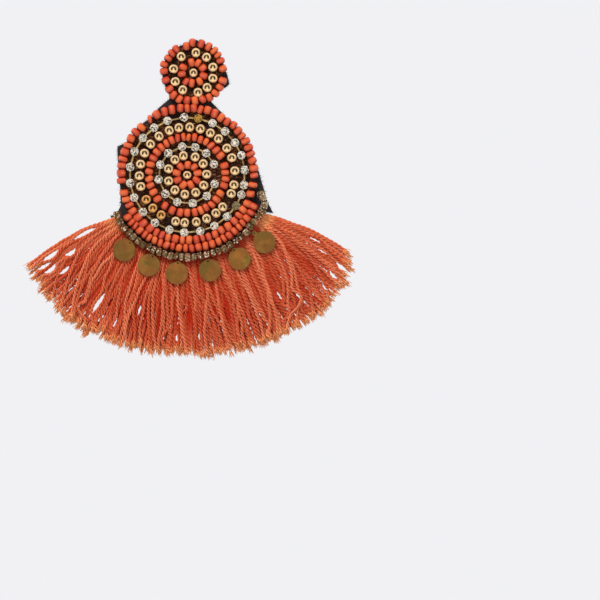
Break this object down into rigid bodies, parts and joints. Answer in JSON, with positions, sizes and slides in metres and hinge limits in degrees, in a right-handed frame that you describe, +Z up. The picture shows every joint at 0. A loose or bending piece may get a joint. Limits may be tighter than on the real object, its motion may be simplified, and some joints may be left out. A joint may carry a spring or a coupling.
{
  "type": "tassel earring",
  "caption": "Drop earring with a beaded stud disc on an ear post, a beaded medallion with cut stones, small brass discs and a fan of coral yarn fringe.",
  "frame": {"origin": "ear seat: the middle of the pad's back face, where the post leaves it", "axes": "+X to the viewer's right, +Y from the beaded front through to the ear, along the post, +Z up as the earring hangs"},
  "size_m": [0.0915, 0.0166, 0.0901],
  "materials": {
    "black_felt": "matte felt",
    "post_steel": "satin",
    "gold": "polished gold plate",
    "coral_glass": "satin, opaque",
    "bronze_glass": "metallic coated glass",
    "clear_stone": "cut and foiled",
    "antique_brass": "matte, mottled",
    "black_thread": "matte thread",
    "coral_yarn": "two-ply cotton yarn"
  },
  "bodies": {
    "root": {"felt_backing": "black_felt", "ear_post": "post_steel", "stud_centre_bead": "gold", "stud_flower_ring": "coral_glass", "stud_gold_beads": "gold", "stud_gold_thread": "black_thread", "stud_rim_ring": "coral_glass", "medallion_centre_bead": "gold", "medallion_flower_ring": "coral_glass", "inner_gold_beads": "gold", "inner_gold_thread": "black_thread", "inner_cup_chain": "gold", "inner_stones": "clear_stone", "middle_coral_ring": "coral_glass", "outer_gold_beads": "gold", "outer_gold_thread": "black_thread", "outer_cup_chain": "gold", "outer_stones": "clear_stone", "rim_coral_ring": "coral_glass", "crescent_coral_row": "coral_glass", "bronze_row": "bronze_glass", "brass_disc_1": "antique_brass", "brass_disc_2": "antique_brass", "brass_disc_3": "antique_brass", "brass_disc_4": "antique_brass", "brass_disc_5": "antique_brass", "brass_disc_6": "antique_brass", "fringe": "coral_yarn"}
  },
  "joints": []
}
